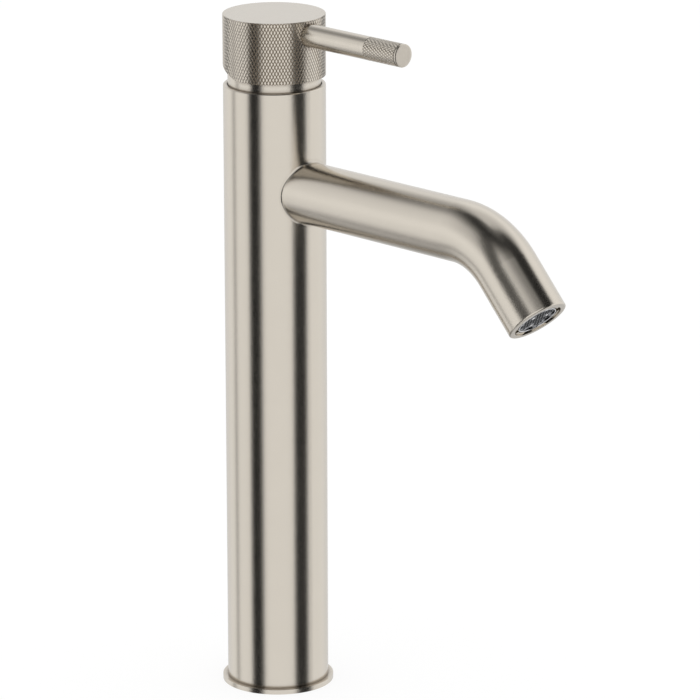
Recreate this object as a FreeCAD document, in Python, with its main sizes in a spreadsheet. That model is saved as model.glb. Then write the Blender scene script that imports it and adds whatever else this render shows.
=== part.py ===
"""Tall single-lever basin mixer.

Frame: +Z up, z = 0 on the deck under the foot, origin on the column's axis.
The spout and the lever point along +X. All sizes are in millimetres and degrees.
"""
import FreeCAD, Part
import Sketcher
import math
import os
import re

doc = FreeCAD.newDocument("basin_mixer")
V = FreeCAD.Vector
CLOSE = 1e-3  # mm, how near an edge lies to where it is looked for

# ---------------------------------------------------------------- driving sizes
DRIVING = [
    # foot
    ("foot_overhang", 2.25, "foot radius beyond the column"),
    ("foot_height", 2.2, "thickness of the visible foot"),
    ("foot_edge", 0.4, "chamfer on the foot's top edge"),
    ("spigot_length", 24.0, "spigot inside the column"),
    ("seal_groove_r", 18.2, "middle radius of the groove under the foot"),
    ("seal_width", 2.2, "width of the ring under the foot"),
    ("seal_height", 1.5, "height of the ring under the foot"),
    ("socket_r", 4.5, "M10x1 hose socket, minor radius"),
    ("socket_depth", 14.0, "depth of a hose socket"),
    ("throat_step", 1.0, "step from a hose socket to its throat"),
    ("stud_back", 9.0, "fixing holes behind the axis"),
    ("stud_side", 9.0, "fixing holes to each side"),
    ("stud_hole_r", 2.5, "M6 tapped fixing hole"),
    ("stud_depth", 16.0, "depth of a fixing hole"),
    # column
    ("column_top", 274.0, "height of the column's rim above the deck"),
    ("column_wall", 2.5, "wall of the column tube"),
    ("rim_depth", 6.0, "depth of the counterbore in the rim"),
    ("rim_gap", 0.3, "gap between bonnet and rim"),
    ("rim_edge", 0.35, "chamfer on the rim"),
    # supply pipes
    ("pipe_r", 5.0, "outer radius of a supply pipe"),
    ("pipe_wall", 1.0, "wall of a supply pipe"),
    ("pipe_seat", 8.0, "how far a pipe enters the foot and the block"),
    ("inlet_front", 4.0, "inlets in front of the axis"),
    ("inlet_side", 8.2, "inlets to each side of the axis"),
    ("way_r", 2.6, "radius of an inlet way"),
    ("ring_width", 1.4, "square section of a sealing ring"),
    # valve block
    ("block_drop", 20.4, "block below the spout's axis"),
    ("outlet_back", 7.5, "outlet port behind the axis"),
    ("outlet_r", 3.0, "radius of the outlet port"),
    ("waterway_r", 4.0, "radius of the way to the spout"),
    ("way_end", 1.0, "way to the spout beyond the outlet port"),
    # spout
    ("spout_z", 228.4, "height of the spout's axis"),
    ("spout_r", 13.6, "outer radius of the spout"),
    ("spout_wall", 3.4, "wall of the spout"),
    ("spout_run", 113.7, "column axis to the start of the bend"),
    ("bend_r", 37.5, "radius of the bend's centre line"),
    ("bend_angle", 47.1, "turn of the bend"),
    ("spout_tail", 26.0, "straight stretch after the bend"),
    ("root_fillet", 1.2, "fillet where the spout meets the column"),
    ("lip_round", 0.7, "rounding of the outlet's outer edge"),
    ("lip_wall", 2.6, "wall at the outlet's thread"),
    ("lip_depth", 13.0, "depth of the outlet's thread"),
    # spout fastening
    ("plug_wall", 2.0, "wall of the plug in the spout's root"),
    ("union_wall", 2.5, "wall of the union"),
    ("union_short", 1.0, "union short of the plug's outer end"),
    ("union_ring_in", 2.7, "sealing ring from the union's inner end"),
    ("union_inner", 10.0, "inner end of the union from the column axis"),
    ("plug_length", 10.0, "length of the plug in the spout's root"),
    # aerator
    ("aerator_recess", 0.5, "aerator nose behind the outlet face"),
    ("aerator_seal_height", 1.5, "height of the aerator's sealing ring"),
    ("nose_step", 1.1, "nose radius less than the thread"),
    ("nose_length", 2.0, "length of the nose"),
    ("nose_face", 1.5, "width of the nose's end face"),
    ("grid_height", 2.4, "height of the honeycomb"),
    ("grid_recess", 0.6, "honeycomb behind the nose"),
    ("cell_pitch", 2.1, "pitch of the honeycomb's cells"),
    ("cell_width", 1.6, "width of a honeycomb cell across its flats"),
    ("grid_ledge", 0.5, "ledge that holds the honeycomb"),
    ("screen_height", 0.8, "height of the mesh disc"),
    ("regulator_height", 3.0, "height of the flow regulator"),
    ("orifice_r", 1.1, "radius of a regulator orifice"),
    ("key_width", 2.4, "width of a key notch in the aerator's nose"),
    ("key_depth", 0.6, "depth of a key notch"),
    ("key_count", 4, "key notches round the nose"),
    ("orifice_count", 6, "orifices of the regulator"),
    ("seal_overlap", 1.6, "sealing ring inside the spout's bore"),
    ("orifice_share", 0.6, "orifices' circle as a share of the regulator's radius"),
    # cartridge
    ("cartridge_r", 17.5, "35 mm cartridge, outer radius"),
    ("cartridge_wall", 1.3, "wall of the cartridge housing"),
    ("cartridge_roof", 2.0, "roof of the cartridge housing"),
    ("collar_r", 14.0, "outer radius of the housing's collar"),
    ("guide_r", 12.0, "radius of the rotary guide's neck"),
    ("flange_height", 3.1, "height of the guide's flange"),
    ("base_height", 3.5, "height of the cartridge's base"),
    ("port_seal_height", 1.1, "height of a port seal"),
    ("port_seal_wall", 1.7, "width of a port seal"),
    ("base_rim", 2.0, "rim round the fixed disc"),
    ("disc_height", 3.0, "height of a ceramic disc"),
    ("disc_margin", 1.3, "moving disc clear of the housing at full stroke"),
    ("carrier_height", 5.0, "height of the disc carrier"),
    ("rail_height", 1.3, "height of the carrier's rails"),
    ("rail_width", 2.0, "width of a rail"),
    ("rail_side", 8.4, "rails to each side of the axis"),
    ("chamber_depth", 1.8, "depth of the mixing chamber"),
    ("chamber_r", 6.0, "end radius of the mixing chamber"),
    ("chamber_middle", 2.9, "middle of the chamber behind the disc centre"),
    ("chamber_half", 4.4, "half of the chamber's straight width"),
    ("peg_r", 1.6, "locating pegs under the cartridge"),
    ("peg_length", 2.0, "length of a locating peg"),
    ("peg_side", 12.4, "pegs to each side of the axis"),
    ("peg_back", 3.5, "pegs behind the axis"),
    ("pivot_over_shoulder", 3.6, "lift pivot above the housing's shoulder"),
    ("pin_r", 1.5, "radius of the pivot pin"),
    ("pin_recess", 0.5, "pin's ends inside the guide's side"),
    ("lift_angle", 24.0, "travel of the lever from closed to open"),
    ("spindle_width", 8.0, "square of the spindle"),
    ("shank_below", 6.0, "square shank below the pivot"),
    ("finger_r", 1.7, "radius of the spindle's finger"),
    ("ball_r", 2.2, "radius of the finger's ball"),
    ("ball_drop", 1.3, "ball's middle below the top of its socket"),
    ("ball_gap", 0.5, "gap between the ball and its socket"),
    ("socket_depth_carrier", 4.0, "depth of the ball's socket"),
    ("limit_height", 1.5, "height of the limit ring"),
    ("limit_wall", 4.0, "width of the limit ring"),
    # nut and bonnet
    ("nut_thread", 0.5, "nut thread beyond the pocket"),
    ("nut_height", 7.0, "height of the cartridge nut"),
    ("notch_width", 4.0, "width of a wrench notch in the nut"),
    ("notch_depth", 2.5, "depth of a wrench notch in the nut"),
    ("notch_count", 6, "wrench notches round the nut"),
    ("skirt_wall", 1.1, "wall of the block's skirt"),
    ("skirt_height", 5.6, "skirt above the housing's shoulder"),
    ("bonnet_wall", 1.2, "wall of the bonnet"),
    ("bonnet_rise", 9.0, "bonnet's top above the lift pivot"),
    # cap and lever
    ("neck_gap", 0.6, "gap between bonnet and cap bore"),
    ("cap_wall", 1.4, "wall of the cap"),
    ("neck_show", 4.1, "bonnet seen between rim and cap"),
    ("cap_height", 27.2, "height of the cap"),
    ("cap_head", 13.8, "solid head of the cap"),
    ("cap_edge", 0.4, "chamfer on the cap's top edge"),
    ("relief_angle", 17.5, "slope of the cap's lower edge at the rear"),
    ("pivot_drop", 4.1, "lift pivot below the cap's lower edge"),
    ("spindle_entry", 5.6, "spindle inside the cap's head"),
    ("lever_drop", 6.5, "lever axis below the cap's top"),
    ("lever_r", 5.1, "radius of the lever"),
    ("lever_reach", 79.3, "tip of the lever from the column axis"),
    ("lever_seat", 2.2, "depth of the lever's seat in the cap"),
    ("lever_stud_r", 3.0, "M6 stud of the lever"),
    ("lever_stud", 8.5, "length of the lever's stud"),
    ("tip_disc", 0.9, "smooth disc at the lever's tip"),
    ("tip_groove", 0.3, "groove beside the tip disc"),
    ("tip_groove_depth", 0.35, "depth of that groove"),
    ("tip_edge", 0.25, "chamfer at the lever's tip"),
    ("grub_r", 2.4, "M5 grub screw"),
    ("grub_length", 6.0, "length of the grub screw"),
    ("grub_drop", 10.9, "grub screw below the cap's top"),
    ("grub_key_r", 1.4, "key socket of the grub screw"),
    ("grub_key_depth", 2.5, "depth of the key socket"),
    # clearances
    ("fit_gap", 0.1, "radial gap of a fixed fit"),
    ("run_gap", 0.05, "radial gap of a running fit"),
    ("free_gap", 0.4, "gap between pieces that pass each other"),
    ("sweep_gap", 0.2, "gap between the bonnet and the tilting cap"),
    ("seat_gap", 0.02, "gap of a ring on its shaft"),
]

# Radii grow outwards from the cartridge; levels run down from the rim of the column.
DERIVED = [
    ("pocket_r", "cartridge_r + fit_gap"),
    ("nut_bore_thread_r", "pocket_r + nut_thread"),
    ("nut_r", "nut_bore_thread_r - fit_gap"),
    ("nut_bore_r", "collar_r + fit_gap"),
    ("skirt_r", "nut_bore_thread_r + skirt_wall"),
    ("bonnet_bore_r", "skirt_r + fit_gap"),
    ("neck_r", "bonnet_bore_r + bonnet_wall"),
    ("cap_bore_r", "neck_r + neck_gap"),
    ("column_r", "cap_bore_r + cap_wall"),
    ("rim_bore_r", "neck_r + rim_gap"),
    ("column_bore_r", "column_r - column_wall"),
    ("block_r", "column_bore_r - fit_gap"),
    ("foot_r", "column_r + foot_overhang"),
    ("spigot_top", "foot_height + spigot_length"),
    ("groove_inner_r", "seal_groove_r - seal_width / 2 - fit_gap"),
    ("groove_outer_r", "seal_groove_r + seal_width / 2 + fit_gap"),
    ("groove_top", "seal_height + fit_gap"),
    ("seal_inner_r", "seal_groove_r - seal_width / 2"),
    ("seal_outer_r", "seal_groove_r + seal_width / 2"),
    # levels of the handle and the cartridge
    ("ledge_z", "column_top - rim_depth"),
    ("cap_bottom", "column_top + neck_show"),
    ("cap_top", "cap_bottom + cap_height"),
    ("cap_ceiling", "cap_top - cap_head"),
    ("pivot_z", "cap_bottom - pivot_drop"),
    ("shoulder_z", "pivot_z - pivot_over_shoulder"),
    ("roof_z", "shoulder_z - cartridge_roof"),
    ("flange_top", "roof_z - free_gap"),
    ("flange_bottom", "flange_top - flange_height"),
    ("carrier_top", "flange_bottom - free_gap"),
    ("carrier_bottom", "carrier_top - carrier_height"),
    ("moving_bottom", "carrier_bottom - disc_height"),
    ("fixed_bottom", "moving_bottom - disc_height"),
    ("seat_z", "fixed_bottom - base_height"),
    ("base_rim_top", "fixed_bottom + base_rim"),
    ("ball_z", "carrier_top - ball_drop"),
    ("ball_arm", "pivot_z - ball_z"),
    ("stroke", "ball_arm * lift_angle * pi / 180"),
    ("closed_back", "stroke / 2"),
    ("housing_bore_r", "cartridge_r - cartridge_wall"),
    ("base_r", "housing_bore_r - fit_gap"),
    ("moving_disc_r", "housing_bore_r - stroke / 2 - disc_margin"),
    ("fixed_disc_r", "moving_disc_r"),
    ("base_rim_r", "fixed_disc_r + fit_gap"),
    ("guide_flange_r", "housing_bore_r - free_gap"),
    ("collar_bore_r", "guide_r + run_gap"),
    ("guide_top", "pivot_z + bonnet_rise - limit_height"),
    ("collar_top", "guide_top - free_gap"),
    ("slot_width", "spindle_width + free_gap"),
    ("slot_half", "slot_width / 2"),
    ("slot_reach", "spindle_width / 2 + (guide_top - pivot_z) * tan(lift_angle) + 2 * free_gap"),
    ("limit_outer_r", "collar_r - fit_gap * 2"),
    ("limit_inner_r", "limit_outer_r - limit_wall"),
    ("nut_top", "shoulder_z + nut_height"),
    ("skirt_top", "shoulder_z + skirt_height"),
    # bonnet stays inside the sphere that the cap's bore sweeps round the pivot
    ("sweep_r", "cap_bore_r - sweep_gap"),
    ("bonnet_top", "pivot_z + bonnet_rise"),
    ("bonnet_edge_z", "pivot_z + sqrt(sweep_r ^ 2 - neck_r ^ 2)"),
    ("bonnet_top_r", "sqrt(sweep_r ^ 2 - bonnet_rise ^ 2)"),
    ("bonnet_hole_r", "collar_r + free_gap"),
    ("bonnet_roof_z", "bonnet_top - bonnet_wall"),
    ("bonnet_roof_r", "bonnet_top_r - bonnet_wall"),
    ("bonnet_knee_z", "bonnet_edge_z - bonnet_wall"),
    # block and pipes
    ("block_bottom", "spout_z - block_drop"),
    ("block_pipe_top", "block_bottom + pipe_seat"),
    ("foot_pipe_seat", "spigot_top - pipe_seat"),
    ("pipe_length", "block_pipe_top - foot_pipe_seat"),
    ("pipe_bore_r", "pipe_r - pipe_wall"),
    ("pipe_seat_r", "pipe_r + fit_gap"),
    ("pipe_ring_r", "pipe_r + seat_gap"),
    ("pipe_ring_rim_r", "pipe_ring_r + ring_width"),
    ("pipe_groove_r", "pipe_ring_rim_r + fit_gap"),
    ("groove_width", "ring_width + 2 * fit_gap"),
    ("foot_groove_z", "spigot_top - pipe_seat / 2 - groove_width / 2"),
    ("block_groove_z", "block_bottom + pipe_seat / 2 - groove_width / 2"),
    ("foot_ring_z", "foot_groove_z + fit_gap"),
    ("block_ring_z", "block_groove_z + fit_gap"),
    ("socket_throat_r", "socket_r - throat_step"),
    # union between block and spout
    ("plug_r", "spout_bore_r - fit_gap"),
    ("union_seat_r", "plug_r - plug_wall"),
    ("union_r", "union_seat_r - fit_gap"),
    ("union_bore_r", "union_r - union_wall"),
    ("plug_inner", "column_r + fit_gap"),
    ("plug_outer", "plug_inner + plug_length"),
    ("union_length", "plug_outer - union_inner - union_short"),
    ("union_ring_r", "union_r + seat_gap"),
    ("union_ring_rim_r", "union_ring_r + ring_width"),
    ("union_groove_r", "union_ring_rim_r + fit_gap"),
    ("union_groove_x", "union_inner + union_ring_in"),
    ("union_ring_x", "union_groove_x + fit_gap"),
    ("quarter_turn", "90"),
    ("waterway_start", "outlet_back + outlet_r + way_end"),
    # spout
    ("spout_bore_r", "spout_r - spout_wall"),
    ("lip_bore_r", "spout_r - lip_wall"),
    ("bend_x", "spout_run + bend_r * sin(bend_angle)"),
    ("bend_z", "spout_z - bend_r * (1 - cos(bend_angle))"),
    ("outlet_x", "bend_x + spout_tail * cos(bend_angle)"),
    ("outlet_z", "bend_z - spout_tail * sin(bend_angle)"),
    ("bend_centre_z", "spout_z - bend_r"),
    ("outlet_turn", "90 + bend_angle"),
    # aerator, measured along the outlet's axis, outlet face at 0, inwards negative
    ("lip_seat", "0 - lip_depth"),
    ("aerator_top", "aerator_seal_height - lip_depth"),
    ("nose_end", "0 - aerator_recess"),
    ("nose_start", "nose_end - nose_length"),
    ("aerator_r", "lip_bore_r - fit_gap"),
    ("nose_r", "aerator_r - nose_step"),
    ("grid_end", "nose_end - grid_recess"),
    ("grid_start", "grid_end - grid_height"),
    ("screen_start", "grid_start - screen_height"),
    ("regulator_start", "screen_start - regulator_height"),
    ("ledge_r", "nose_r - nose_face"),
    ("grid_r", "ledge_r + grid_ledge"),
    ("aerator_bore_r", "grid_r + fit_gap"),
    ("seal_hole_r", "spout_bore_r - seal_overlap"),
    # cap, lever and grub screw
    ("relief_back", "foot_r"),
    ("relief_rise", "relief_back * tan(relief_angle)"),
    ("relief_z", "cap_bottom + relief_rise"),
    ("relief_under", "cap_bottom - pivot_drop"),
    ("spindle_top", "cap_ceiling + spindle_entry"),
    ("spindle_socket", "spindle_entry + fit_gap * 2"),
    ("spindle_half", "spindle_width / 2"),
    ("spindle_foot", "pivot_z - shank_below"),
    ("spindle_length", "spindle_top - spindle_foot"),
    ("lever_z", "cap_top - lever_drop"),
    ("lever_start", "column_r - lever_seat"),
    ("stud_start", "lever_start - lever_stud"),
    ("lever_seat_r", "lever_r + seat_gap"),
    ("lever_bore_r", "lever_stud_r + fit_gap"),
    ("tip_start", "lever_reach - tip_disc"),
    ("groove_start", "tip_start - tip_groove"),
    ("groove_r", "lever_r - tip_groove_depth"),
    ("tip_edge_r", "lever_r - tip_edge"),
    ("tip_edge_x", "lever_reach - tip_edge"),
    ("grub_z", "cap_top - grub_drop"),
    ("grub_hole_r", "grub_r + fit_gap"),
    ("grub_front", "spindle_half + run_gap"),
    ("grub_back", "grub_front + grub_length"),
    ("pin_hole_r", "pin_r + run_gap"),
    ("pin_length", "2 * (guide_r - pin_recess)"),
    ("spigot_r", "column_bore_r - fit_gap"),
    ("foot_diameter", "2 * foot_r"),
    ("seat_rise", "seat_z - block_bottom"),
    ("peg_hole_depth", "peg_length + fit_gap * 2"),
    ("peg_hole_z", "seat_z - peg_hole_depth"),
    ("peg_hole_r", "peg_r + fit_gap"),
    ("peg_bottom", "seat_z - peg_length"),
    ("peg_height", "peg_length + base_height / 2"),
    ("spout_core", "4 * spout_r"),
    ("spout_core_z", "spout_z - 2 * spout_r"),
    ("union_end", "union_inner + union_length"),
    ("key_half", "key_width / 2"),
    ("key_floor_r", "nose_r - key_depth"),
    ("orifice_ring_r", "grid_r * orifice_share"),
    ("port_seal_depth", "port_seal_height + fit_gap"),
    ("inlet_seal_r", "way_r + port_seal_wall"),
    ("outlet_seal_r", "outlet_r + port_seal_wall"),
    ("inlet_recess_r", "inlet_seal_r + fit_gap"),
    ("outlet_recess_r", "outlet_seal_r + fit_gap"),
    ("chamber_back", "chamber_middle + chamber_r"),
    ("chamber_front", "chamber_r - chamber_middle"),
    ("ball_socket_r", "ball_r + ball_gap"),
    ("socket_floor", "carrier_height - socket_depth_carrier"),
    ("rail_inner", "rail_side - rail_width / 2"),
    ("rail_outer", "rail_side + rail_width / 2"),
    ("rail_half", "sqrt(moving_disc_r ^ 2 - rail_outer ^ 2)"),
    ("channel_inner", "rail_inner - fit_gap * 2"),
    ("channel_outer", "rail_outer + fit_gap * 2"),
    ("channel_depth", "rail_height - free_gap + fit_gap * 2"),
    ("guide_length", "limit_top - flange_bottom"),
    ("guide_diameter", "2 * guide_r"),
    ("pin_start", "0 - pin_length / 2"),
    ("limit_top", "guide_top + limit_height"),
    ("notch_floor", "nut_top - notch_depth"),
    ("notch_half", "notch_width / 2"),
    ("nut_inside", "guide_r"),
    ("ball_low", "ball_z - ball_r"),
    ("ball_flat_r", "ball_r / 2"),
    ("ball_under", "ball_z - ball_r / 2"),
    ("ball_over", "ball_z + ball_r / 2"),
    ("ball_high", "ball_z + ball_r"),
    ("finger_root", "pivot_z - pin_r * 2"),
    ("relief_width", "2 * relief_back"),
    ("socket_half", "spindle_half + fit_gap"),
    ("grub_floor", "grub_back - grub_key_depth"),
]


def fill_sheet(label, rows, formula):
    """A sheet with one size in each row: name, number or formula, and what it is."""
    sheet = doc.addObject("Spreadsheet::Sheet", label)
    for row, entry in enumerate(rows, start=1):
        sheet.set("A%d" % row, entry[0])
        sheet.setAlias("B%d" % row, entry[0])
        sheet.set("B%d" % row, formula(entry[1]))
    return sheet


HOME = {name: "Sizes" for name, value, note in DRIVING}
HOME.update({name: "Places" for name, rule in DERIVED})


def qualified(rule):
    """A formula cell, with each driving size written as Sizes.name."""
    def home_name(match):
        word = match.group(0)
        return "Sizes." + word if HOME.get(word) == "Sizes" else word

    return "=" + re.sub(r"[a-z][a-z_0-9]*", home_name, rule)


sizes = fill_sheet("Sizes", DRIVING, str)
doc.recompute()
places = fill_sheet("Places", DERIVED, qualified)
doc.recompute()


def bound(name):
    """The expression for a size: 0, name or -name."""
    if name == "0":
        return "0"
    sign = "-" if name.startswith("-") else ""
    plain = name.lstrip("-")
    return "%s%s.%s" % (sign, HOME[plain], plain)


def number(name):
    """The present value of 0, name or -name."""
    if name == "0":
        return 0.0
    plain = name.lstrip("-")
    value = float(getattr(sizes if HOME[plain] == "Sizes" else places, plain))
    return -value if name.startswith("-") else value


# ---------------------------------------------------------------- sketch helpers
def origin_item(body, role):
    """One of the body's own origin planes or axes."""
    return next(item for item in body.Origin.OriginFeatures if item.Role == role)


def new_body(label):
    body = doc.addObject("PartDesign::Body", label)
    body.Label = label
    return body


def new_sketch(body, name, role="XZ_Plane", level="0"):
    """A sketch on an origin plane, moved along the plane's normal by a bound level."""
    sketch = body.newObject("Sketcher::SketchObject", name)
    sketch.AttachmentSupport = [(origin_item(body, role), "")]
    sketch.MapMode = "FlatFace"
    if level != "0":
        sketch.AttachmentOffset = FreeCAD.Placement(V(0, 0, number(level)), FreeCAD.Rotation())
        sketch.setExpression("AttachmentOffset.Base.z", bound(level))
    return sketch


def pin_point(sketch, geo, end, x, y):
    """Dimension one sketch point from the sketch's origin."""
    for kind, name in (("DistanceX", x), ("DistanceY", y)):
        rule = Sketcher.Constraint(kind, -1, 1, geo, end, number(name))
        index = sketch.addConstraint(rule)
        sketch.setExpression("Constraints[%d]" % index, bound(name))


def outline(sketch, points):
    """A closed outline of straight lines through dimensioned corners."""
    spots = [V(number(x), number(y), 0) for x, y in points]
    count = len(points)
    first = sketch.GeometryCount
    for i in range(count):
        sketch.addGeometry(Part.LineSegment(spots[i], spots[(i + 1) % count]), False)
    for i in range(count):
        here, after = first + i, first + (i + 1) % count
        sketch.addConstraint(Sketcher.Constraint("Coincident", here, 2, after, 1))
    for i, (x, y) in enumerate(points):
        pin_point(sketch, first + i, 1, x, y)


def circle(sketch, x, y, radius):
    """A dimensioned circle."""
    centre = V(number(x), number(y), 0)
    geo = sketch.addGeometry(Part.Circle(centre, V(0, 0, 1), number(radius)), False)
    pin_point(sketch, geo, 3, x, y)
    index = sketch.addConstraint(Sketcher.Constraint("Radius", geo, number(radius)))
    sketch.setExpression("Constraints[%d]" % index, bound(radius))


def revolve(body, name, points, cut=False):
    """Turn an outline of (radius, height) corners about the body's Z axis."""
    sketch = new_sketch(body, name + "_profile")
    outline(sketch, points)
    kind = "PartDesign::Groove" if cut else "PartDesign::Revolution"
    feature = body.newObject(kind, name)
    feature.Profile = sketch
    feature.ReferenceAxis = (sketch, ["V_Axis"])
    feature.Angle = 360
    sketch.Visibility = False
    return feature


def turned(label, points):
    """A body turned about Z."""
    body = new_body(label)
    revolve(body, label + "_turned", points)
    return body


def pad(body, name, sketch, length):
    """Extrude a sketch along its normal."""
    feature = body.newObject("PartDesign::Pad", name)
    feature.Profile = sketch
    feature.setExpression("Length", bound(length))
    return feature


def cut_forward(body, name, sketch, length):
    """Cut from the sketch's plane along its normal, and make sure that it cuts."""
    doc.recompute()
    before = body.Shape.Volume
    feature = body.newObject("PartDesign::Pocket", name)
    feature.Profile = sketch
    feature.Reversed = True
    feature.setExpression("Length", bound(length))
    doc.recompute()
    if body.Shape.Volume >= before - CLOSE:
        raise RuntimeError("%s removed nothing" % name)
    return feature


def drill(body, name, role, level, length, holes):
    """Round holes from an origin plane at a level, along that plane's normal."""
    sketch = new_sketch(body, name + "_sketch", role, level)
    for x, y, radius in holes:
        circle(sketch, x, y, radius)
    return cut_forward(body, name, sketch, length)


def rectangle(x_low, y_low, x_high, y_high):
    """Corners of a rectangle for outline()."""
    return [(x_low, y_low), (x_high, y_low), (x_high, y_high), (x_low, y_high)]


def bevel(body, name, size, radius, height):
    """Chamfer the full circle of this radius about Z at this height."""
    doc.recompute()
    base = body.Tip
    edges = []
    for index, edge in enumerate(base.Shape.Edges, start=1):
        round_edge = isinstance(edge.Curve, Part.Circle)
        if round_edge and abs(edge.Curve.Radius - number(radius)) < CLOSE:
            if abs(edge.Curve.Center.z - number(height)) < CLOSE:
                edges.append("Edge%d" % index)
    if not edges:
        raise RuntimeError("no edge for " + name)
    feature = body.newObject("PartDesign::Chamfer", name)
    feature.Base = (base, edges)
    feature.setExpression("Size", bound(size))
    return feature


def fillet(body, name, edges, radius):
    """Round the named edges of the body's last feature."""
    base = body.Tip
    if not edges:
        raise RuntimeError("no edge for " + name)
    feature = body.newObject("PartDesign::Fillet", name)
    feature.Base = (base, edges)
    feature.setExpression("Radius", bound(radius))
    doc.recompute()
    return feature


def pattern_round(body, name, feature, count):
    """Repeat a feature evenly about the body's Z axis."""
    doc.recompute()
    pattern = body.newObject("PartDesign::PolarPattern", name)
    pattern.Originals = [feature]
    pattern.Axis = (origin_item(body, "Z_Axis"), [""])
    pattern.Angle = 360
    pattern.setExpression("Occurrences", bound(count))
    body.Tip = pattern


def place(thing, x="0", y="0", z="0", turn_y="0"):
    """Put a body in the mixer's frame, turned about Y by a bound angle."""
    thing.Placement = FreeCAD.Placement(
        V(number(x), number(y), number(z)), FreeCAD.Rotation(V(0, 1, 0), number(turn_y))
    )
    for path, name in (("Base.x", x), ("Base.y", y), ("Base.z", z), ("Rotation.Angle", turn_y)):
        if name != "0":
            thing.setExpression("Placement." + path, bound(name))


def place_on_x(thing, z):
    """Lay a body's Z axis along +X at a height."""
    place(thing, z=z, turn_y="quarter_turn")


PIECES = {}


def keep(label, thing):
    """Register a finished sub-part under its label."""
    thing.Label = label
    PIECES[label] = thing
    return thing


def ring_outline(inner, outer, low, high):
    """Section of a plain ring."""
    return [(inner, low), (outer, low), (outer, high), (inner, high)]


def flat_ring(label, inner, outer, height, spot, turn_y="0"):
    """A square-cut ring about Z, or about X when turned, standing on a spot."""
    discs = []
    for part_name, radius in (("rim", outer), ("hole", inner)):
        disc = doc.addObject("Part::Cylinder", "%s_%s" % (label, part_name))
        disc.setExpression("Radius", bound(radius))
        disc.setExpression("Height", bound(height))
        place(disc, *spot, turn_y)
        discs.append(disc)
    ring = doc.addObject("Part::Cut", label)
    ring.Base, ring.Tool = discs
    return ring


def group(label, members):
    """Like pieces kept as separate solids of one sub-part."""
    bundle = doc.addObject("Part::Compound", label)
    bundle.Links = members
    return keep(label, bundle)


# ---------------------------------------------------------------- foot and column
def make_base_foot():
    """Foot and spigot in one piece, with hose sockets, pipe seats and fixing holes."""
    body = turned("base_foot", [
        ("0", "0"), ("foot_r", "0"), ("foot_r", "foot_height"), ("spigot_r", "foot_height"),
        ("spigot_r", "spigot_top"), ("0", "spigot_top"),
    ])
    revolve(body, "seal_groove", [
        ("groove_inner_r", "0"), ("groove_outer_r", "0"),
        ("groove_outer_r", "groove_top"), ("groove_inner_r", "groove_top"),
    ], cut=True)
    sides = ("inlet_side", "-inlet_side")
    drill(body, "hose_sockets", "XY_Plane", "0", "socket_depth",
          [("inlet_front", side, "socket_r") for side in sides])
    drill(body, "throats", "XY_Plane", "0", "spigot_top",
          [("inlet_front", side, "socket_throat_r") for side in sides])
    drill(body, "pipe_seats", "XY_Plane", "foot_pipe_seat", "pipe_seat",
          [("inlet_front", side, "pipe_seat_r") for side in sides])
    drill(body, "ring_grooves", "XY_Plane", "foot_groove_z", "groove_width",
          [("inlet_front", side, "pipe_groove_r") for side in sides])
    drill(body, "fixing_holes", "XY_Plane", "0", "stud_depth",
          [("-stud_back", "stud_side", "stud_hole_r"), ("-stud_back", "-stud_side", "stud_hole_r")])
    bevel(body, "foot_bevel", "foot_edge", "foot_r", "foot_height")
    return keep("base_foot", body)


def make_base_seal():
    body = turned("base_seal", ring_outline("seal_inner_r", "seal_outer_r", "0", "seal_height"))
    return keep("base_seal", body)


def make_column():
    """Tube with a counterbored rim and a hole for the spout's union."""
    body = turned("column", [
        ("column_bore_r", "foot_height"), ("column_r", "foot_height"), ("column_r", "column_top"),
        ("rim_bore_r", "column_top"), ("rim_bore_r", "ledge_z"), ("column_bore_r", "ledge_z"),
    ])
    bevel(body, "rim_bevel", "rim_edge", "column_r", "column_top")
    drill(body, "union_hole", "YZ_Plane", "0", "foot_r", [("0", "spout_z", "union_seat_r")])
    return keep("column", body)


def make_pipes():
    """Two straight supply pipes from the foot to the block."""
    for label, side in (("supply_pipe_hot", "-inlet_side"), ("supply_pipe_cold", "inlet_side")):
        pipe = turned(label, ring_outline("pipe_bore_r", "pipe_r", "0", "pipe_length"))
        place(pipe, "inlet_front", side, "foot_pipe_seat")
        keep(label, pipe)


def make_pipe_rings():
    """One sealing ring at each end of each pipe."""
    rings = []
    for side in ("-inlet_side", "inlet_side"):
        for level in ("foot_ring_z", "block_ring_z"):
            label = "pipe_ring_%d" % (len(rings) + 1)
            spot = ("inlet_front", side, level)
            rings.append(flat_ring(label, "pipe_ring_r", "pipe_ring_rim_r", "ring_width", spot))
    group("pipe_rings", rings)


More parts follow.
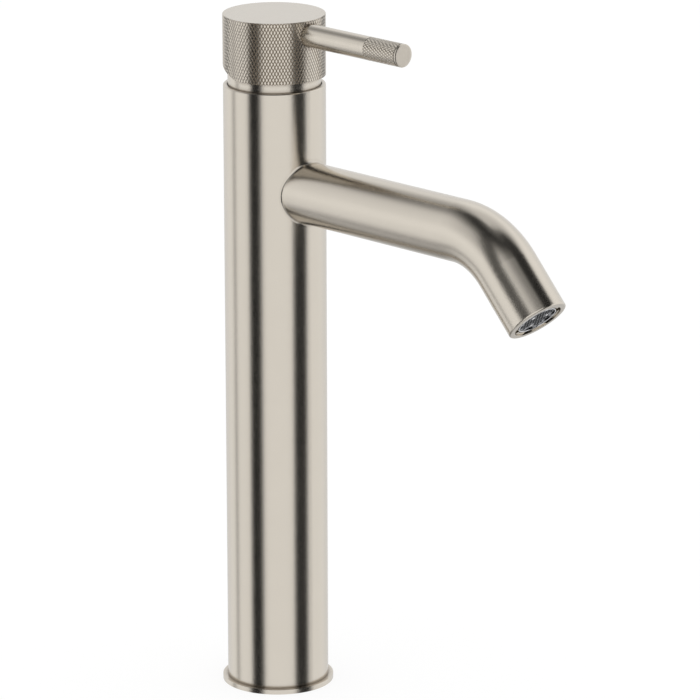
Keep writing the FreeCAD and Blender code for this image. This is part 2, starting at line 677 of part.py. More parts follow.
# ---------------------------------------------------------------- valve block
def make_valve_block():
    """Body that holds the cartridge above and takes the pipes below and the union in front."""
    body = turned("valve_block", [
        ("0", "block_bottom"), ("block_r", "block_bottom"), ("block_r", "ledge_z"),
        ("skirt_r", "ledge_z"), ("skirt_r", "skirt_top"), ("nut_bore_thread_r", "skirt_top"),
        ("nut_bore_thread_r", "shoulder_z"), ("pocket_r", "shoulder_z"), ("pocket_r", "seat_z"),
        ("0", "seat_z"),
    ])
    sides = ("inlet_side", "-inlet_side")
    drill(body, "pipe_bores", "XY_Plane", "block_bottom", "pipe_seat",
          [("inlet_front", side, "pipe_seat_r") for side in sides])
    drill(body, "ring_grooves", "XY_Plane", "block_groove_z", "groove_width",
          [("inlet_front", side, "pipe_groove_r") for side in sides])
    drill(body, "inlet_ways", "XY_Plane", "block_bottom", "seat_rise",
          [("inlet_front", side, "way_r") for side in sides])
    drill(body, "outlet_way", "XY_Plane", "spout_z", "seat_rise",
          [("-outlet_back", "0", "outlet_r")])
    drill(body, "waterway", "YZ_Plane", "-waterway_start", "foot_diameter",
          [("0", "spout_z", "waterway_r")])
    drill(body, "union_thread", "YZ_Plane", "union_inner", "foot_r",
          [("0", "spout_z", "union_seat_r")])
    drill(body, "union_ring_groove", "YZ_Plane", "union_groove_x", "groove_width",
          [("0", "spout_z", "union_groove_r")])
    drill(body, "peg_holes", "XY_Plane", "peg_hole_z", "peg_hole_depth",
          [("-peg_back", "peg_side", "peg_hole_r"), ("-peg_back", "-peg_side", "peg_hole_r")])
    return keep("valve_block", body)


# ---------------------------------------------------------------- spout
def spout_path(body, name):
    """Centre line of the spout: straight, bend, straight."""
    path = new_sketch(body, name)
    start = V(0, number("spout_z"), 0)
    bend_start = V(number("spout_run"), number("spout_z"), 0)
    bend_end = V(number("bend_x"), number("bend_z"), 0)
    end = V(number("outlet_x"), number("outlet_z"), 0)
    centre = V(number("spout_run"), number("bend_centre_z"), 0)
    top = math.pi / 2
    arc = Part.ArcOfCircle(
        Part.Circle(centre, V(0, 0, 1), number("bend_r")),
        top - math.radians(number("bend_angle")), top
    )
    path.addGeometry(Part.LineSegment(start, bend_start), False)
    path.addGeometry(arc, False)
    path.addGeometry(Part.LineSegment(bend_end, end), False)
    path.addConstraint(Sketcher.Constraint("Coincident", 0, 2, 1, 2))
    path.addConstraint(Sketcher.Constraint("Coincident", 1, 1, 2, 1))
    pin_point(path, 0, 1, "0", "spout_z")
    pin_point(path, 0, 2, "spout_run", "spout_z")
    pin_point(path, 1, 3, "spout_run", "bend_centre_z")
    index = path.addConstraint(Sketcher.Constraint("DistanceX", -1, 1, 1, 1, number("bend_x")))
    path.setExpression("Constraints[%d]" % index, bound("bend_x"))
    pin_point(path, 2, 2, "outlet_x", "outlet_z")
    return path


def pipe_along(body, name, kind, path, radius):
    """Sweep a circle from the column axis along a path."""
    section = new_sketch(body, name + "_section", "YZ_Plane")
    circle(section, "0", "spout_z", radius)
    feature = body.newObject(kind, name)
    feature.Profile = section
    feature.Spine = path
    return feature


def outlet_sketch(body, name):
    """A sketch square to the outlet, centred on it, its normal pointing out."""
    sketch = body.newObject("Sketcher::SketchObject", name)
    sketch.AttachmentSupport = [(origin_item(body, "YZ_Plane"), "")]
    sketch.MapMode = "FlatFace"
    tilt = FreeCAD.Rotation(V(1, 0, 0), number("bend_angle"))
    sketch.AttachmentOffset = FreeCAD.Placement(V(0, number("outlet_z"), number("outlet_x")), tilt)
    sketch.setExpression("AttachmentOffset.Base.y", bound("outlet_z"))
    sketch.setExpression("AttachmentOffset.Base.z", bound("outlet_x"))
    sketch.setExpression("AttachmentOffset.Rotation.Angle", bound("bend_angle"))
    return sketch


def root_edges(shape):
    """Edges where the swept tube meets the column's surface."""
    column_r = number("column_r")
    found = []
    for index, edge in enumerate(shape.Edges, start=1):
        spots = edge.discretize(7)
        on_column = all(abs(math.hypot(p.x, p.y) - column_r) < CLOSE for p in spots)
        level = max(p.z for p in spots) - min(p.z for p in spots) < CLOSE
        straight = max(p.y for p in spots) - min(p.y for p in spots) < CLOSE
        if on_column and not level and not straight:
            found.append("Edge%d" % index)
    return found


def lip_edges(shape):
    """Outer circle of the outlet."""
    outlet = V(number("outlet_x"), 0, number("outlet_z"))
    found = []
    for index, edge in enumerate(shape.Edges, start=1):
        if isinstance(edge.Curve, Part.Circle) and edge.Curve.Center.distanceToPoint(outlet) < CLOSE:
            if abs(edge.Curve.Radius - number("spout_r")) < CLOSE:
                found.append("Edge%d" % index)
    return found


def make_spout():
    """Swept tube whose filleted root is cut to the column's round."""
    body = new_body("spout")
    core = new_sketch(body, "column_core", "XY_Plane", "spout_core_z")
    circle(core, "0", "0", "column_r")
    pad(body, "core", core, "spout_core")
    path = spout_path(body, "spout_line")
    pipe_along(body, "tube", "PartDesign::AdditivePipe", path, "spout_r")
    doc.recompute()
    fillet(body, "root_flare", root_edges(body.Tip.Shape), "root_fillet")
    fillet(body, "lip_rounding", lip_edges(body.Tip.Shape), "lip_round")
    drill(body, "column_round", "XY_Plane", "spout_core_z", "spout_core",
          [("0", "0", "column_r")])
    pipe_along(body, "bore", "PartDesign::SubtractivePipe", path, "spout_bore_r")
    doc.recompute()
    thread = outlet_sketch(body, "thread_section")
    circle(thread, "0", "0", "lip_bore_r")
    doc.recompute()
    before = body.Shape.Volume
    pocket = body.newObject("PartDesign::Pocket", "lip_thread")
    pocket.Profile = thread
    pocket.setExpression("Length", bound("lip_depth"))
    doc.recompute()
    if body.Shape.Volume >= before - CLOSE:
        raise RuntimeError("lip_thread removed nothing")
    return keep("spout", body)


def make_spout_fastening():
    """Plug in the spout's root and the hollow union that screws it to the block."""
    plug = turned("spout_root_plug", ring_outline("union_seat_r", "plug_r", "plug_inner", "plug_outer"))
    place_on_x(plug, "spout_z")
    keep("spout_root_plug", plug)
    union = turned("spout_union", ring_outline("union_bore_r", "union_r", "union_inner", "union_end"))
    place_on_x(union, "spout_z")
    keep("spout_union", union)
    spot = ("union_ring_x", "0", "spout_z")
    ring = flat_ring("union_ring", "union_ring_r", "union_ring_rim_r", "ring_width", spot, "quarter_turn")
    keep("union_ring", ring)


# ---------------------------------------------------------------- aerator
def at_outlet(body):
    """Stand a body's Z axis on the outlet's axis, pointing out."""
    place(body, "outlet_x", "0", "outlet_z", "outlet_turn")


def make_aerator():
    """Recessed aerator: threaded ring with key notches, honeycomb, mesh and regulator."""
    seal = turned("aerator_seal", ring_outline("seal_hole_r", "aerator_r", "lip_seat", "aerator_top"))
    at_outlet(seal)
    keep("aerator_seal", seal)

    ring = turned("aerator_body", [
        ("aerator_bore_r", "aerator_top"), ("aerator_r", "aerator_top"),
        ("aerator_r", "nose_start"), ("nose_r", "nose_start"), ("nose_r", "nose_end"),
        ("ledge_r", "nose_end"), ("ledge_r", "grid_end"), ("aerator_bore_r", "grid_end"),
    ])
    notch = new_sketch(ring, "key_notch_outline", "XY_Plane", "nose_start")
    outline(notch, rectangle("key_floor_r", "-key_half", "spout_r", "key_half"))
    cut = cut_forward(ring, "key_notch", notch, "nose_length")
    pattern_round(ring, "key_notches", cut, "key_count")
    at_outlet(ring)
    keep("aerator_body", ring)

    screen = turned("aerator_screen", ring_outline("0", "grid_r", "screen_start", "grid_start"))
    at_outlet(screen)
    keep("aerator_screen", screen)

    regulator = turned("flow_regulator", ring_outline("0", "grid_r", "regulator_start", "screen_start"))
    orifice = drill(regulator, "orifice", "XY_Plane", "regulator_start", "regulator_height",
                    [("orifice_ring_r", "0", "orifice_r")])
    pattern_round(regulator, "orifices", orifice, "orifice_count")
    at_outlet(regulator)
    keep("flow_regulator", regulator)
    make_aerator_grid()


def hexagon(x, y, z, across_flats):
    """Corners of a level hexagon with flats square to X, first corner repeated last."""
    reach = across_flats / math.sqrt(3)
    turns = [math.radians(30 + 60 * k) for k in range(7)]
    return [V(x + reach * math.cos(t), y + reach * math.sin(t), z) for t in turns]


def make_aerator_grid():
    """Honeycomb disc: a round plate with rows of hexagonal cells."""
    pitch, width = number("cell_pitch"), number("cell_width")
    radius, height, start = number("grid_r"), number("grid_height"), number("grid_start")
    row_step = pitch * math.sqrt(3) / 2
    reach = radius - width
    rows = int(reach / row_step)
    cells = []
    for row in range(-rows, rows + 1):
        shift = pitch / 2 if row % 2 else 0
        for column in range(-rows - 1, rows + 2):
            x, y = column * pitch + shift, row * row_step
            if math.hypot(x, y) <= reach:
                wire = Part.makePolygon(hexagon(x, y, start, width))
                cells.append(Part.Face(wire).extrude(V(0, 0, height)))
    plate = Part.makeCylinder(radius, height, V(0, 0, start))
    grid = doc.addObject("Part::Feature", "aerator_grid")
    grid.Shape = plate.cut(Part.makeCompound(cells))
    place(grid, "outlet_x", "0", "outlet_z", "outlet_turn")
    keep("aerator_grid", grid)


# ---------------------------------------------------------------- cartridge
PORTS = [
    ("inlet_front", "inlet_side", "way_r"),
    ("inlet_front", "-inlet_side", "way_r"),
    ("-outlet_back", "0", "outlet_r"),
]


def make_cartridge_base():
    """Base plate with ports, seal recesses, locating pegs and a rim for the fixed disc."""
    body = turned("cartridge_base", [
        ("0", "seat_z"), ("base_r", "seat_z"), ("base_r", "base_rim_top"),
        ("base_rim_r", "base_rim_top"), ("base_rim_r", "fixed_bottom"), ("0", "fixed_bottom"),
    ])
    drill(body, "inlet_recesses", "XY_Plane", "seat_z", "port_seal_depth",
          [("inlet_front", "inlet_side", "inlet_recess_r"),
           ("inlet_front", "-inlet_side", "inlet_recess_r")])
    drill(body, "outlet_recess", "XY_Plane", "seat_z", "port_seal_depth",
          [("-outlet_back", "0", "outlet_recess_r")])
    drill(body, "ports", "XY_Plane", "seat_z", "base_height", PORTS)
    pegs = new_sketch(body, "peg_circles", "XY_Plane", "peg_bottom")
    circle(pegs, "-peg_back", "peg_side", "peg_r")
    circle(pegs, "-peg_back", "-peg_side", "peg_r")
    pad(body, "pegs", pegs, "peg_height")
    return keep("cartridge_base", body)


def make_port_seals():
    """Flat rings round the three ports, pressed on the block's seat."""
    rings = []
    for (x, y, hole), rim in zip(PORTS, ("inlet_seal_r", "inlet_seal_r", "outlet_seal_r")):
        label = "port_seal_%d" % (len(rings) + 1)
        rings.append(flat_ring(label, hole, rim, "port_seal_height", (x, y, "seat_z")))
    group("port_seals", rings)


def make_discs():
    """Two ceramic discs: the fixed one with ports, the moving one with the mixing chamber."""
    fixed = turned("fixed_disc", ring_outline("0", "fixed_disc_r", "fixed_bottom", "moving_bottom"))
    drill(fixed, "ports", "XY_Plane", "fixed_bottom", "disc_height", PORTS)
    keep("fixed_disc", fixed)

    moving = turned("moving_disc", ring_outline("0", "moving_disc_r", "0", "disc_height"))
    chamber = new_sketch(moving, "chamber_outline", "XY_Plane", "0")
    outline(chamber, rectangle("-chamber_back", "-chamber_half", "chamber_front", "chamber_half"))
    cut_forward(moving, "chamber", chamber, "chamber_depth")
    for name, y in (("chamber_end_cold", "chamber_half"), ("chamber_end_hot", "-chamber_half")):
        drill(moving, name, "XY_Plane", "0", "chamber_depth", [("-chamber_middle", y, "chamber_r")])
    place(moving, "-closed_back", "0", "moving_bottom")
    keep("moving_disc", moving)


def make_disc_carrier():
    """Plate on the moving disc, with a socket for the spindle's ball and two guide rails."""
    body = turned("disc_carrier", ring_outline("0", "moving_disc_r", "0", "carrier_height"))
    drill(body, "ball_socket", "XY_Plane", "socket_floor", "carrier_height",
          [("closed_back", "0", "ball_socket_r")])
    for name, low, high in (("rail_cold", "rail_inner", "rail_outer"),
                            ("rail_hot", "-rail_outer", "-rail_inner")):
        sketch = new_sketch(body, name + "_outline", "XY_Plane", "carrier_height")
        outline(sketch, rectangle("-rail_half", low, "rail_half", high))
        pad(body, name, sketch, "rail_height")
    place(body, "-closed_back", "0", "carrier_bottom")
    keep("disc_carrier", body)


def make_cartridge_housing():
    """Upside-down cup with a collar that guides the turning piece."""
    body = turned("cartridge_housing", [
        ("housing_bore_r", "seat_z"), ("cartridge_r", "seat_z"), ("cartridge_r", "shoulder_z"),
        ("collar_r", "shoulder_z"), ("collar_r", "collar_top"), ("collar_bore_r", "collar_top"),
        ("collar_bore_r", "roof_z"), ("housing_bore_r", "roof_z"),
    ])
    return keep("cartridge_housing", body)


def make_rotary_guide():
    """Turning piece: flange with rail channels, neck with the spindle's slot and pin hole."""
    body = turned("rotary_guide", [
        ("0", "flange_bottom"), ("guide_flange_r", "flange_bottom"), ("guide_flange_r", "flange_top"),
        ("guide_r", "flange_top"), ("guide_r", "guide_top"), ("0", "guide_top"),
    ])
    slot = new_sketch(body, "spindle_slot_outline", "XY_Plane", "flange_bottom")
    outline(slot, rectangle("-slot_reach", "-slot_half", "slot_reach", "slot_half"))
    cut_forward(body, "spindle_slot", slot, "guide_length")
    channels = new_sketch(body, "channel_outline", "XY_Plane", "flange_bottom")
    for low, high in (("channel_inner", "channel_outer"), ("-channel_outer", "-channel_inner")):
        outline(channels, rectangle("-guide_flange_r", low, "guide_flange_r", high))
    cut_forward(body, "rail_channels", channels, "channel_depth")
    drill(body, "pin_hole", "XZ_Plane", "-guide_r", "guide_diameter", [("0", "pivot_z", "pin_hole_r")])
    return keep("rotary_guide", body)


def make_pivot_pin():
    """Pin across the guide, along Y."""
    pin = doc.addObject("Part::Cylinder", "pivot_pin")
    pin.setExpression("Radius", bound("pin_r"))
    pin.setExpression("Height", bound("pin_length"))
    pin.Placement = FreeCAD.Placement(
        V(0, number("pin_start"), number("pivot_z")), FreeCAD.Rotation(V(1, 0, 0), -90)
    )
    pin.setExpression("Placement.Base.y", bound("pin_start"))
    pin.setExpression("Placement.Base.z", bound("pivot_z"))
    keep("pivot_pin", pin)


def make_limit_ring():
    ring = turned("limit_ring", ring_outline("limit_inner_r", "limit_outer_r", "guide_top", "limit_top"))
    return keep("limit_ring", ring)


def make_cartridge_nut():
    """Threaded ring with six wrench notches in its top."""
    body = turned("cartridge_nut", ring_outline("nut_bore_r", "nut_r", "shoulder_z", "nut_top"))
    notch = new_sketch(body, "notch_outline", "XY_Plane", "notch_floor")
    outline(notch, rectangle("nut_inside", "-notch_half", "neck_r", "notch_half"))
    cut = cut_forward(body, "notch", notch, "nut_height")
    pattern_round(body, "notches", cut, "notch_count")
    return keep("cartridge_nut", body)


def make_neck_bonnet():
    """Bonnet over the nut: its neck shows under the cap, its shoulder clears the tilting cap."""
    body = turned("neck_bonnet", [
        ("bonnet_bore_r", "ledge_z"), ("neck_r", "ledge_z"), ("neck_r", "bonnet_edge_z"),
        ("bonnet_top_r", "bonnet_top"), ("bonnet_hole_r", "bonnet_top"),
        ("bonnet_hole_r", "bonnet_roof_z"), ("bonnet_roof_r", "bonnet_roof_z"),
        ("bonnet_bore_r", "bonnet_knee_z"),
    ])
    return keep("neck_bonnet", body)


# ---------------------------------------------------------------- handle
def make_valve_spindle():
    """Square spindle on the pivot pin, with a ball-ended finger below."""
    body = new_body("valve_spindle")
    square = new_sketch(body, "square", "XY_Plane", "spindle_foot")
    outline(square, rectangle("-spindle_half", "-spindle_half", "spindle_half", "spindle_half"))
    pad(body, "shank", square, "spindle_length")
    drill(body, "pin_hole", "XZ_Plane", "-spindle_half", "spindle_width",
          [("0", "pivot_z", "pin_hole_r")])
    revolve(body, "finger", [
        ("0", "ball_low"), ("ball_flat_r", "ball_low"), ("ball_r", "ball_under"),
        ("ball_r", "ball_over"), ("finger_r", "ball_high"), ("finger_r", "finger_root"),
        ("0", "finger_root"),
    ])
    return keep("valve_spindle", body)


def make_handle_cap():
    """Cap with a square socket, a lever seat in front, a screw hole and a relieved edge behind."""
    body = turned("handle_cap", [
        ("0", "cap_ceiling"), ("cap_bore_r", "cap_ceiling"), ("cap_bore_r", "cap_bottom"),
        ("column_r", "cap_bottom"), ("column_r", "cap_top"), ("0", "cap_top"),
    ])
    bevel(body, "top_bevel", "cap_edge", "column_r", "cap_top")
    doc.recompute()
    relief = new_sketch(body, "relief_outline", "XZ_Plane", "-relief_back")
    outline(relief, [("0", "cap_bottom"), ("-relief_back", "relief_z"),
                     ("-relief_back", "relief_under"), ("0", "relief_under")])
    cut_forward(body, "relief", relief, "relief_width")
    socket = new_sketch(body, "socket_outline", "XY_Plane", "cap_ceiling")
    outline(socket, rectangle("-socket_half", "-socket_half", "socket_half", "socket_half"))
    cut_forward(body, "spindle_socket_cut", socket, "spindle_socket")
    drill(body, "lever_hole", "YZ_Plane", "stud_start", "column_r",
          [("0", "lever_z", "lever_bore_r")])
    drill(body, "lever_seat_cut", "YZ_Plane", "lever_start", "column_r",
          [("0", "lever_z", "lever_seat_r")])
    drill(body, "screw_hole", "YZ_Plane", "-foot_r", "foot_r", [("0", "grub_z", "grub_hole_r")])
    return keep("handle_cap", body)


def make_lever_pin():
    """Lever turned from bar: stud, stem, grip, groove and tip disc."""
    body = turned("lever_pin", [
        ("0", "stud_start"), ("lever_stud_r", "stud_start"), ("lever_stud_r", "lever_start"),
        ("lever_r", "lever_start"), ("lever_r", "groove_start"), ("groove_r", "groove_start"),
        ("groove_r", "tip_start"), ("lever_r", "tip_start"), ("lever_r", "tip_edge_x"),
        ("tip_edge_r", "lever_reach"), ("0", "lever_reach"),
    ])
    place_on_x(body, "lever_z")
    return keep("lever_pin", body)


def make_grub_screw():
    """Headless screw behind the spindle, with its key socket outwards."""
    body = turned("grub_screw", [
        ("0", "-grub_front"), ("0", "-grub_floor"), ("grub_key_r", "-grub_floor"),
        ("grub_key_r", "-grub_back"), ("grub_r", "-grub_back"), ("grub_r", "-grub_front"),
    ])
    place_on_x(body, "grub_z")
    return keep("grub_screw", body)


# ---------------------------------------------------------------- build and export
for make in (
    make_base_foot, make_base_seal, make_column, make_pipes, make_pipe_rings,
    make_valve_block, make_spout, make_spout_fastening, make_aerator,
    make_cartridge_base, make_port_seals, make_discs, make_disc_carrier,
    make_cartridge_housing, make_rotary_guide, make_pivot_pin, make_limit_ring,
    make_cartridge_nut, make_neck_bonnet, make_valve_spindle, make_handle_cap,
    make_lever_pin, make_grub_screw,
):
    make()
doc.recompute()

for item in doc.Objects:
    if any(state in ("Invalid", "Error") for state in item.State):
        raise RuntimeError("%s is in state %s" % (item.Name, item.State))
for label, piece in PIECES.items():
    if piece.Shape.isNull() or not piece.Shape.isValid():
        raise RuntimeError("%s has no valid shape" % label)

os.makedirs("parts", exist_ok=True)
for label, piece in PIECES.items():
    piece.Shape.exportStep("parts/%s.step" % label)
print("%d sub-parts written" % len(PIECES))
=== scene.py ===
import math

import bmesh
import bpy
from mathutils import Matrix, Vector


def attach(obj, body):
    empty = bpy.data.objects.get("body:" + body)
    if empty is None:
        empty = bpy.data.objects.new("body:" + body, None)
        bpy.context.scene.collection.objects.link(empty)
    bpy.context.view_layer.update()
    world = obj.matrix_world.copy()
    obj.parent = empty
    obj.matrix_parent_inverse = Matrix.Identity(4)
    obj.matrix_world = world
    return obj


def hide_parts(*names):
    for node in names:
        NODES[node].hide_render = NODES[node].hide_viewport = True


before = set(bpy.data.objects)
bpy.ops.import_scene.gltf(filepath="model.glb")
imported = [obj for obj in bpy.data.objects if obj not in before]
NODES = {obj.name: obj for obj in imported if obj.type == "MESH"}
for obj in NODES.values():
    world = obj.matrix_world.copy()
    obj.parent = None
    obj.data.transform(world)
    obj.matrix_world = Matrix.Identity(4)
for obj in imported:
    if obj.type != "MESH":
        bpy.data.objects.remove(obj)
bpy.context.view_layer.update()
SCENE = bpy.context.scene
SCENE.view_settings.view_transform = "Standard"

MM = 0.001
CLOSE = 0.005 * MM      # lengths that differ by less count as equal
ROUND_SIDES = 96        # sides of a plain round form
SMOOTH_ANGLE = math.radians(25)


# ---------------------------------------------------------------- camera

# Solved from the outlines of the foot, column, cap, spout and lever in the photograph.
CAMERA_PLACE = (1.62106, -1.55459, 0.79557)
CAMERA_AIM = (-0.68413, 0.67546, -0.27518)
CAMERA_ROLL = math.radians(-0.147)
CAMERA_LENS = 271.38


def make_camera():
    """The photograph's camera: a long lens that looks a little down on the tap."""
    forward = Vector(CAMERA_AIM).normalized()
    right = forward.cross(Vector((0, 0, 1))).normalized()
    up = right.cross(forward)
    x_axis = right * math.cos(CAMERA_ROLL) + up * math.sin(CAMERA_ROLL)
    y_axis = up * math.cos(CAMERA_ROLL) - right * math.sin(CAMERA_ROLL)
    data = bpy.data.cameras.new("photo_camera")
    data.sensor_width = 36
    data.lens = CAMERA_LENS
    data.clip_end = 50
    camera = bpy.data.objects.new("photo_camera", data)
    SCENE.collection.objects.link(camera)
    turn = Matrix((x_axis, y_axis, -forward)).transposed().to_4x4()
    camera.matrix_world = Matrix.Translation(CAMERA_PLACE) @ turn
    SCENE.camera = camera


# ---------------------------------------------------------------- node helpers

class Tree:
    """Short calls that add nodes to a material's or world's tree and link them."""

    def __init__(self, owner):
        owner.use_nodes = True
        self.tree = owner.node_tree
        self.tree.nodes.clear()

    def node(self, kind, **values):
        made = self.tree.nodes.new(kind)
        for name, value in values.items():
            setattr(made, name, value)
        return made

    def feed(self, socket, value):
        """Links another node's output to the socket, or sets a plain value on it."""
        if isinstance(value, bpy.types.NodeSocket):
            self.tree.links.new(value, socket)
        else:
            socket.default_value = value

    def math(self, operation, a, b):
        made = self.node("ShaderNodeMath", operation=operation)
        self.feed(made.inputs[0], a)
        self.feed(made.inputs[1], b)
        return made.outputs[0]

    def plus(self, a, b):
        return self.math("ADD", a, b)

    def minus(self, a, b):
        return self.math("SUBTRACT", a, b)

    def times(self, a, b):
        return self.math("MULTIPLY", a, b)

    def larger(self, a, b):
        return self.math("MAXIMUM", a, b)

    def cosine(self, a):
        return self.math("COSINE", a, 0.0)

    def ramp(self, value, low, high, to_low=0.0, to_high=1.0, kind="LINEAR"):
        """Goes from to_low to to_high while the value goes from low to high."""
        made = self.node("ShaderNodeMapRange", interpolation_type=kind)
        for index, part in enumerate((value, low, high, to_low, to_high)):
            self.feed(made.inputs[index], part)
        return made.outputs[0]

    def smooth_step(self, value, low, high, to_low=0.0, to_high=1.0):
        return self.ramp(value, low, high, to_low, to_high, "SMOOTHSTEP")

    def split(self, vector):
        made = self.node("ShaderNodeSeparateXYZ")
        self.feed(made.inputs[0], vector)
        return made.outputs

    def place(self, kind):
        return self.node("ShaderNodeTexCoord").outputs[kind]

    def noise(self, vector, scale, detail=2.0, stretch=(1, 1, 1)):
        mapping = self.node("ShaderNodeMapping")
        self.feed(mapping.inputs["Vector"], vector)
        mapping.inputs["Scale"].default_value = stretch
        made = self.node("ShaderNodeTexNoise")
        self.feed(made.inputs["Vector"], mapping.outputs[0])
        made.inputs["Scale"].default_value = scale
        made.inputs["Detail"].default_value = detail
        return made.outputs[0]

    def mix_colour(self, factor, a, b):
        made = self.node("ShaderNodeMix", data_type="RGBA")
        self.feed(made.inputs[0], factor)
        self.feed(made.inputs[6], a)
        self.feed(made.inputs[7], b)
        return made.outputs[2]

    def openness(self, reach, samples):
        """1 on an open surface, falling toward 0 where others come within reach of it."""
        made = self.node("ShaderNodeAmbientOcclusion", samples=samples)
        made.inputs["Distance"].default_value = reach
        return made.outputs["AO"]

    def bump(self, height, strength, distance):
        made = self.node("ShaderNodeBump")
        self.feed(made.inputs["Height"], height)
        made.inputs["Strength"].default_value = strength
        made.inputs["Distance"].default_value = distance
        return made.outputs[0]

    def finish(self, kind, shader):
        """Adds the output node of that kind and feeds it the shader."""
        self.feed(self.node(kind).inputs[0], shader.outputs[0])


# ---------------------------------------------------------------- world

# Headings are degrees round the tap: 0 is where the spout points, -44 the camera and 136 behind
# the tap. A height is the upward part of a direction, from 0 level to 1 overhead.
#
# Each dark strip of the walls: the heading where it starts and ends, half the width of its soft
# start and end, the two heights between which it changes, and how dark it is at either of them.
STRIPS = (
    (-105, -75, 3, 5, -0.10, 0.35, 1.0, 0.89),      # the left dark band of the column
    (-4, 31, 3, 5, 0.0, 1.0, 0.98, 0.98),           # its right dark band
    (-153, -144, 4, 4, 0.10, 0.40, 0.60, 0.0),      # the thin band at its left edge
    (-130, -100, 9, 9, 0.0, 0.50, 0.0, 0.19),       # a haze on upward slopes, left of the left band
    (14, 56, 5, 5, 0.50, 0.66, 0.0, 1.0),           # the dark corner above the right band
)
BEHIND = 135
RIGHT_REAR = 75
SPOUT_REAR = 173
CEILING_GLOW = 121
WALL_TOP = (0.60, 0.95)     # heights between which the walls give way to the ceiling


def make_world():
    """A white studio with a dark ceiling and dark strips, which the metal shows as bands."""
    world = bpy.data.worlds.new("studio")
    SCENE.world = world
    t = Tree(world)
    x, y, z = t.split(t.place("Generated"))
    turn = t.math("ARCTAN2", y, x)

    def inside(start, end, soft_start, soft_end):
        """1 between two headings and 0 away from them."""
        rise = (math.radians(start - soft_start), math.radians(start + soft_start))
        fall = (math.radians(end - soft_end), math.radians(end + soft_end))
        return t.times(t.smooth_step(turn, *rise), t.smooth_step(turn, *fall, 1.0, 0.0))

    def toward(heading):
        """The cosine of the angle to a heading."""
        return t.cosine(t.minus(turn, math.radians(heading)))

    def dim(level, share, depth=1.0):
        """The level, less depth of it where share is 1."""
        return t.times(level, t.minus(1.0, t.times(share, depth)))

    walls = dim(1.0, t.smooth_step(toward(BEHIND), 0.55, 0.95), t.ramp(z, 0.35, 0.60, 0.18, 0.0))
    for start, end, soft_start, soft_end, low, high, at_low, at_high in STRIPS:
        strip = inside(start, end, soft_start, soft_end)
        walls = dim(walls, strip, t.smooth_step(z, low, high, at_low, at_high))
    # Upper walls: a little darker away from the right rear, and darkest behind the spout.
    off_right = t.ramp(toward(RIGHT_REAR), 0.5, -0.3)
    walls = dim(walls, t.times(off_right, t.ramp(z, 0.20, 0.62, 0.0, 0.24)))
    spout_rear = toward(SPOUT_REAR)
    upper = t.times(t.smooth_step(spout_rear, 0.80, 1.0, 0.0, 0.50), t.smooth_step(z, 0.40, 0.72))
    walls = dim(walls, upper)
    walls = t.times(walls, t.smooth_step(z, -0.30, 0.05, 1.0, 1.08))
    # Below the tap, where the undersides look: darker, and most behind the spout.
    ground = t.smooth_step(t.times(z, -1.0), 0.34, 0.82)
    shade = t.ramp(spout_rear, 0.5, 1.0, 0.30, 0.55)
    walls = dim(walls, ground, t.plus(shade, t.ramp(spout_rear, 0.85, 1.0, 0.0, 0.24)))
    glow = t.smooth_step(toward(CEILING_GLOW), 0.45, 1.0, 0.03, 0.75)
    ceiling = t.larger(glow, t.smooth_step(z, 0.96, 1.0, 0.03, 0.14))
    height = t.smooth_step(z, *WALL_TOP)
    studio = t.plus(dim(walls, height), t.times(ceiling, height))

    path = t.node("ShaderNodeLightPath")
    white = t.larger(path.outputs["Is Camera Ray"], path.outputs["Is Diffuse Ray"])
    background = t.node("ShaderNodeBackground")
    background.inputs["Color"].default_value = (1, 1, 1, 1)
    level = t.plus(t.times(studio, t.minus(1.0, white)), white)
    t.feed(background.inputs["Strength"], level)
    t.finish("ShaderNodeOutputWorld", background)


FLOOR_RADIUS = 6.0
FLOOR_DARK, FLOOR_LIGHT = (0.86, 0.86, 0.86, 1), (0.88, 0.88, 0.88, 1)
FLOOR_GLOW = 1.05
FLOOR_GLOW_SHARE = 0.8


def make_floor():
    """A pale floor that the camera sees as nearly white, with the tap's faint shadow."""
    mesh = bpy.data.meshes.new("floor")
    shape = bmesh.new()
    bmesh.ops.create_circle(shape, cap_ends=True, segments=ROUND_SIDES, radius=FLOOR_RADIUS)
    shape.to_mesh(mesh)
    shape.free()
    floor = bpy.data.objects.new("floor", mesh)
    SCENE.collection.objects.link(floor)
    material = bpy.data.materials.new("pale_floor")
    t = Tree(material)
    path = t.node("ShaderNodeLightPath")
    shown = t.larger(path.outputs["Is Camera Ray"], path.outputs["Is Transmission Ray"])
    grain = t.noise(t.place("Object"), 30.0)
    matt = t.node("ShaderNodeBsdfDiffuse")
    t.feed(matt.inputs["Color"], t.mix_colour(grain, FLOOR_DARK, FLOOR_LIGHT))
    glow = t.node("ShaderNodeEmission")
    glow.inputs["Strength"].default_value = FLOOR_GLOW
    both = t.node("ShaderNodeMixShader")
    t.feed(both.inputs[0], t.times(shown, FLOOR_GLOW_SHARE))
    t.feed(both.inputs[1], matt.outputs[0])
    t.feed(both.inputs[2], glow.outputs[0])
    t.finish("ShaderNodeOutputMaterial", both)
    mesh.materials.append(material)
    floor.visible_glossy = False
    floor.visible_shadow = False


# ---------------------------------------------------------------- materials

NICKEL_DARK, NICKEL_LIGHT = (0.630, 0.582, 0.510, 1), (0.658, 0.608, 0.535, 1)
# Painted shade: the colour that nickel darkens to in joints and corners, near other surfaces.
NICKEL_PAINTED_SHADE = (0.27, 0.23, 0.19, 1)
NICKEL_RELIEF = 0.04 * MM
BRUSH_SCALE, BRUSH_STRETCH = 9000.0, 0.06
SPECKLE_SCALE = 2600.0
PATCH_SCALE = 60.0
# How near other surfaces must come to cast painted shade on nickel.
PAINTED_SHADE_REACH = 2.2 * MM
PAINTED_SHADE_END = (0.12, 0.14)   # along the spout, where its painted shade in the joints fades out toward the outlet
# Painted shade: the nearly black colour of narrow gaps and hollows.
HOLLOW_SHADE_COLOUR = (0.012, 0.012, 0.014, 1)
FINE_RELIEF = 0.05 * MM
